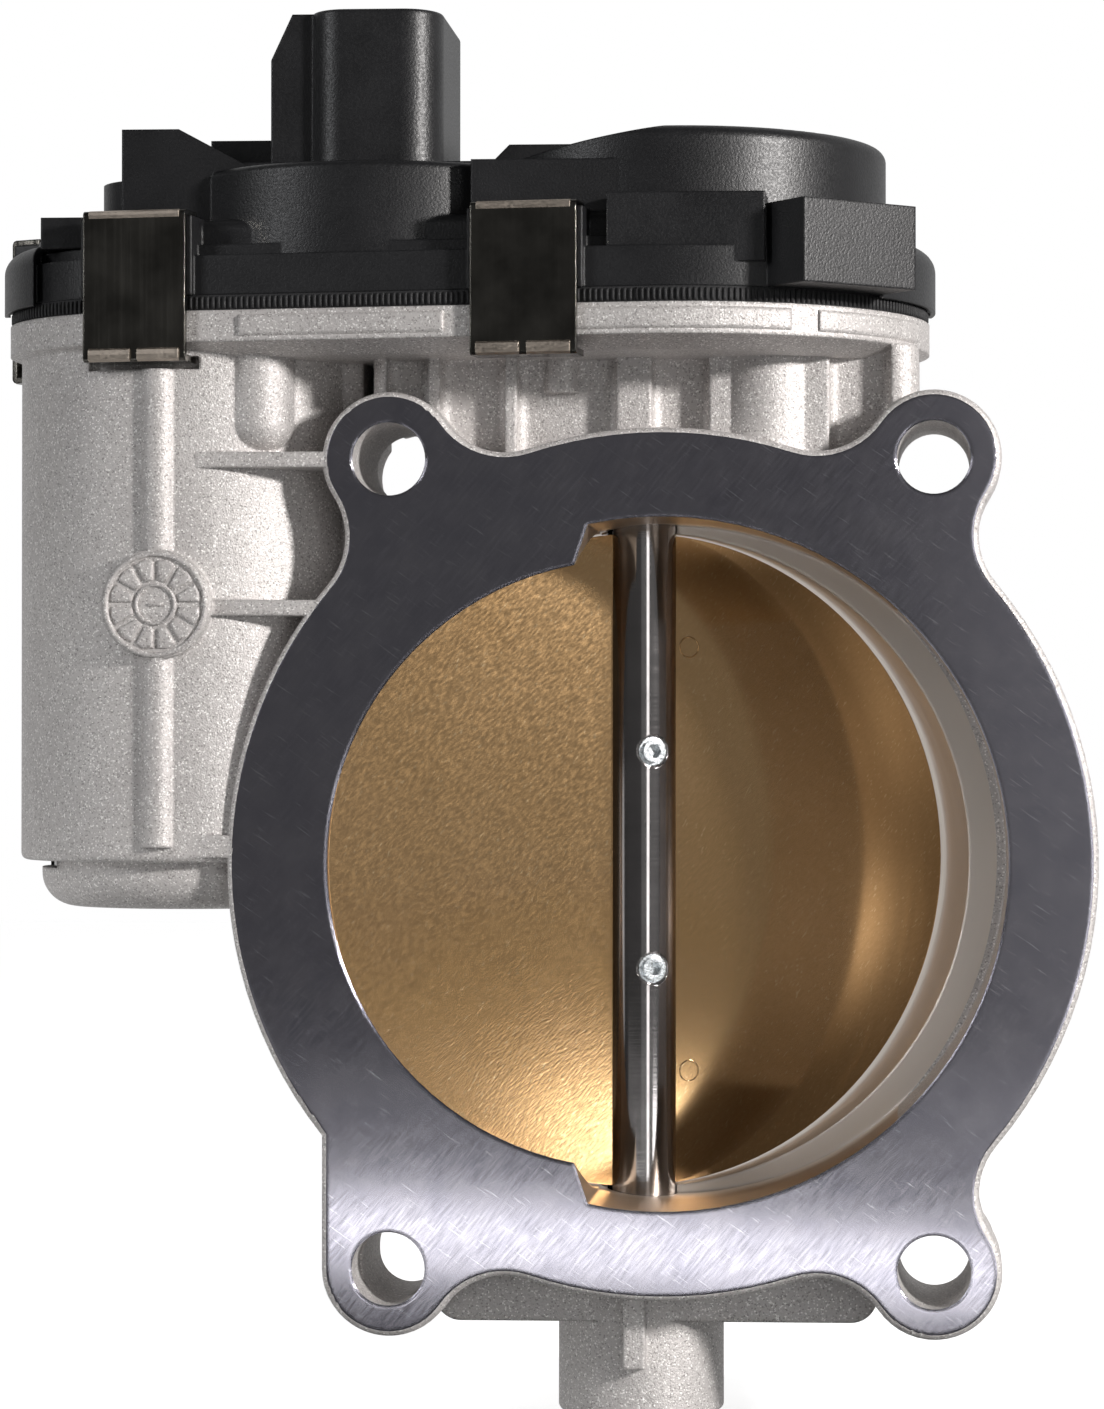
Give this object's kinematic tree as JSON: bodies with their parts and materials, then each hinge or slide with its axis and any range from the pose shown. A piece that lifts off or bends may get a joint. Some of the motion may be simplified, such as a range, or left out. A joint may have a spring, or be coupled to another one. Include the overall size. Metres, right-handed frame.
{
  "type": "throttle body",
  "caption": "Motor-driven throttle body: flanged bore with a pivoting gold plate, geared actuator under a clipped black cover, and a top connector.",
  "frame": {"origin": "centre of the four manifold bolts on the machined flange face", "axes": "+X away from the motor, +Y along the bore from the manifold to the inlet, +Z along the throttle shaft to the gear cover"},
  "size_m": [0.1466, 0.0819, 0.184],
  "materials": {
    "cast_aluminium": "sand-textured casting",
    "gold_plate": "gold chromate",
    "shaft_steel": "ground",
    "zinc_steel": "zinc plated",
    "bearing_steel": "polished",
    "cage_polymer": "satin",
    "seal_rubber": "matte",
    "can_steel": "zinc plated",
    "spring_steel": "dark rolled",
    "bush_bronze": "sintered",
    "magnet_ferrite": "matte",
    "core_steel": "laminated",
    "winding_copper": "enamelled",
    "commutator_copper": "turned",
    "brush_carbon": "matte",
    "gear_polymer": "natural",
    "holder_polymer": "matte",
    "cover_polymer": "fine grain",
    "clip_steel": "bright rolled",
    "pin_brass": "tinned",
    "board_laminate": "solder mask"
  },
  "bodies": {
    "housing": {"throttle_housing": "cast_aluminium", "lower_bearing_outer_race": "bearing_steel", "upper_bearing_shell": "bearing_steel", "upper_shaft_seal": "seal_rubber", "lower_shaft_seal": "seal_rubber", "lower_end_plug": "zinc_steel", "motor_can": "can_steel", "motor_wave_washer": "spring_steel", "motor_rear_bush": "bush_bronze", "motor_front_bush": "bush_bronze", "motor_magnets": "magnet_ferrite", "motor_brushes": "brush_carbon", "motor_brush_springs": "spring_steel", "motor_brush_holder": "holder_polymer", "motor_mounting_plate": "can_steel", "motor_screws": "zinc_steel", "intermediate_gear_pin": "shaft_steel", "return_spring": "spring_steel", "gear_cover": "cover_polymer", "cover_seal": "seal_rubber", "cover_clips": "clip_steel", "connector_pins": "pin_brass", "sensor_board": "board_laminate", "sensor_chip": "holder_polymer"},
    "throttle": {"throttle_plate": "gold_plate", "throttle_shaft": "shaft_steel", "plate_screws": "zinc_steel", "lower_bearing_inner_race": "bearing_steel", "shaft_retaining_ring": "spring_steel", "sector_gear": "gear_polymer", "sector_gear_insert": "can_steel", "shaft_nut": "zinc_steel", "sensor_magnet": "magnet_ferrite"},
    "idler": {"intermediate_gear": "gear_polymer"},
    "rotor": {"motor_armature": "core_steel", "motor_windings": "winding_copper", "motor_commutator": "commutator_copper", "motor_shaft": "shaft_steel", "motor_pinion": "pin_brass"},
    "ball_set": {"lower_bearing_balls": "bearing_steel", "lower_bearing_cage": "cage_polymer"},
    "needle_set": {"upper_bearing_needles": "bearing_steel"}
  },
  "joints": [
    {"name": "throttle_pivot", "type": "hinge", "parent": "housing", "child": "throttle", "pos_m": [-0.004, 0.022, 0], "axis": [0, 0, 1], "range_deg": [-19, 62], "stiffness_Nm_per_rad": 0.15},
    {"name": "idler_spin", "type": "hinge", "parent": "housing", "child": "idler", "pos_m": [-0.03796, 0.02362, 0], "axis": [0, 0, 1], "range_deg": [-241.1, 75.3]},
    {"name": "rotor_spin", "type": "hinge", "parent": "housing", "child": "rotor", "pos_m": [-0.06795, 0.0228, 0], "axis": [0, 0, 1], "range_deg": [-321.3, 1044]},
    {"name": "ball_set_spin", "type": "hinge", "parent": "housing", "child": "ball_set", "pos_m": [-0.004, 0.022, 0], "axis": [0, 0, 1], "range_deg": [-10, 28.2]},
    {"name": "needle_set_spin", "type": "hinge", "parent": "housing", "child": "needle_set", "pos_m": [-0.004, 0.022, 0], "axis": [0, 0, 1], "range_deg": [-9.8, 27.5]}
  ],
  "couplings": [
    {"joint": "idler_spin", "follows": "throttle_pivot", "ratio": -3.8571},
    {"joint": "rotor_spin", "follows": "throttle_pivot", "ratio": 16.806},
    {"joint": "ball_set_spin", "follows": "throttle_pivot", "ratio": 0.4231},
    {"joint": "needle_set_spin", "follows": "throttle_pivot", "ratio": 0.4113}
  ]
}
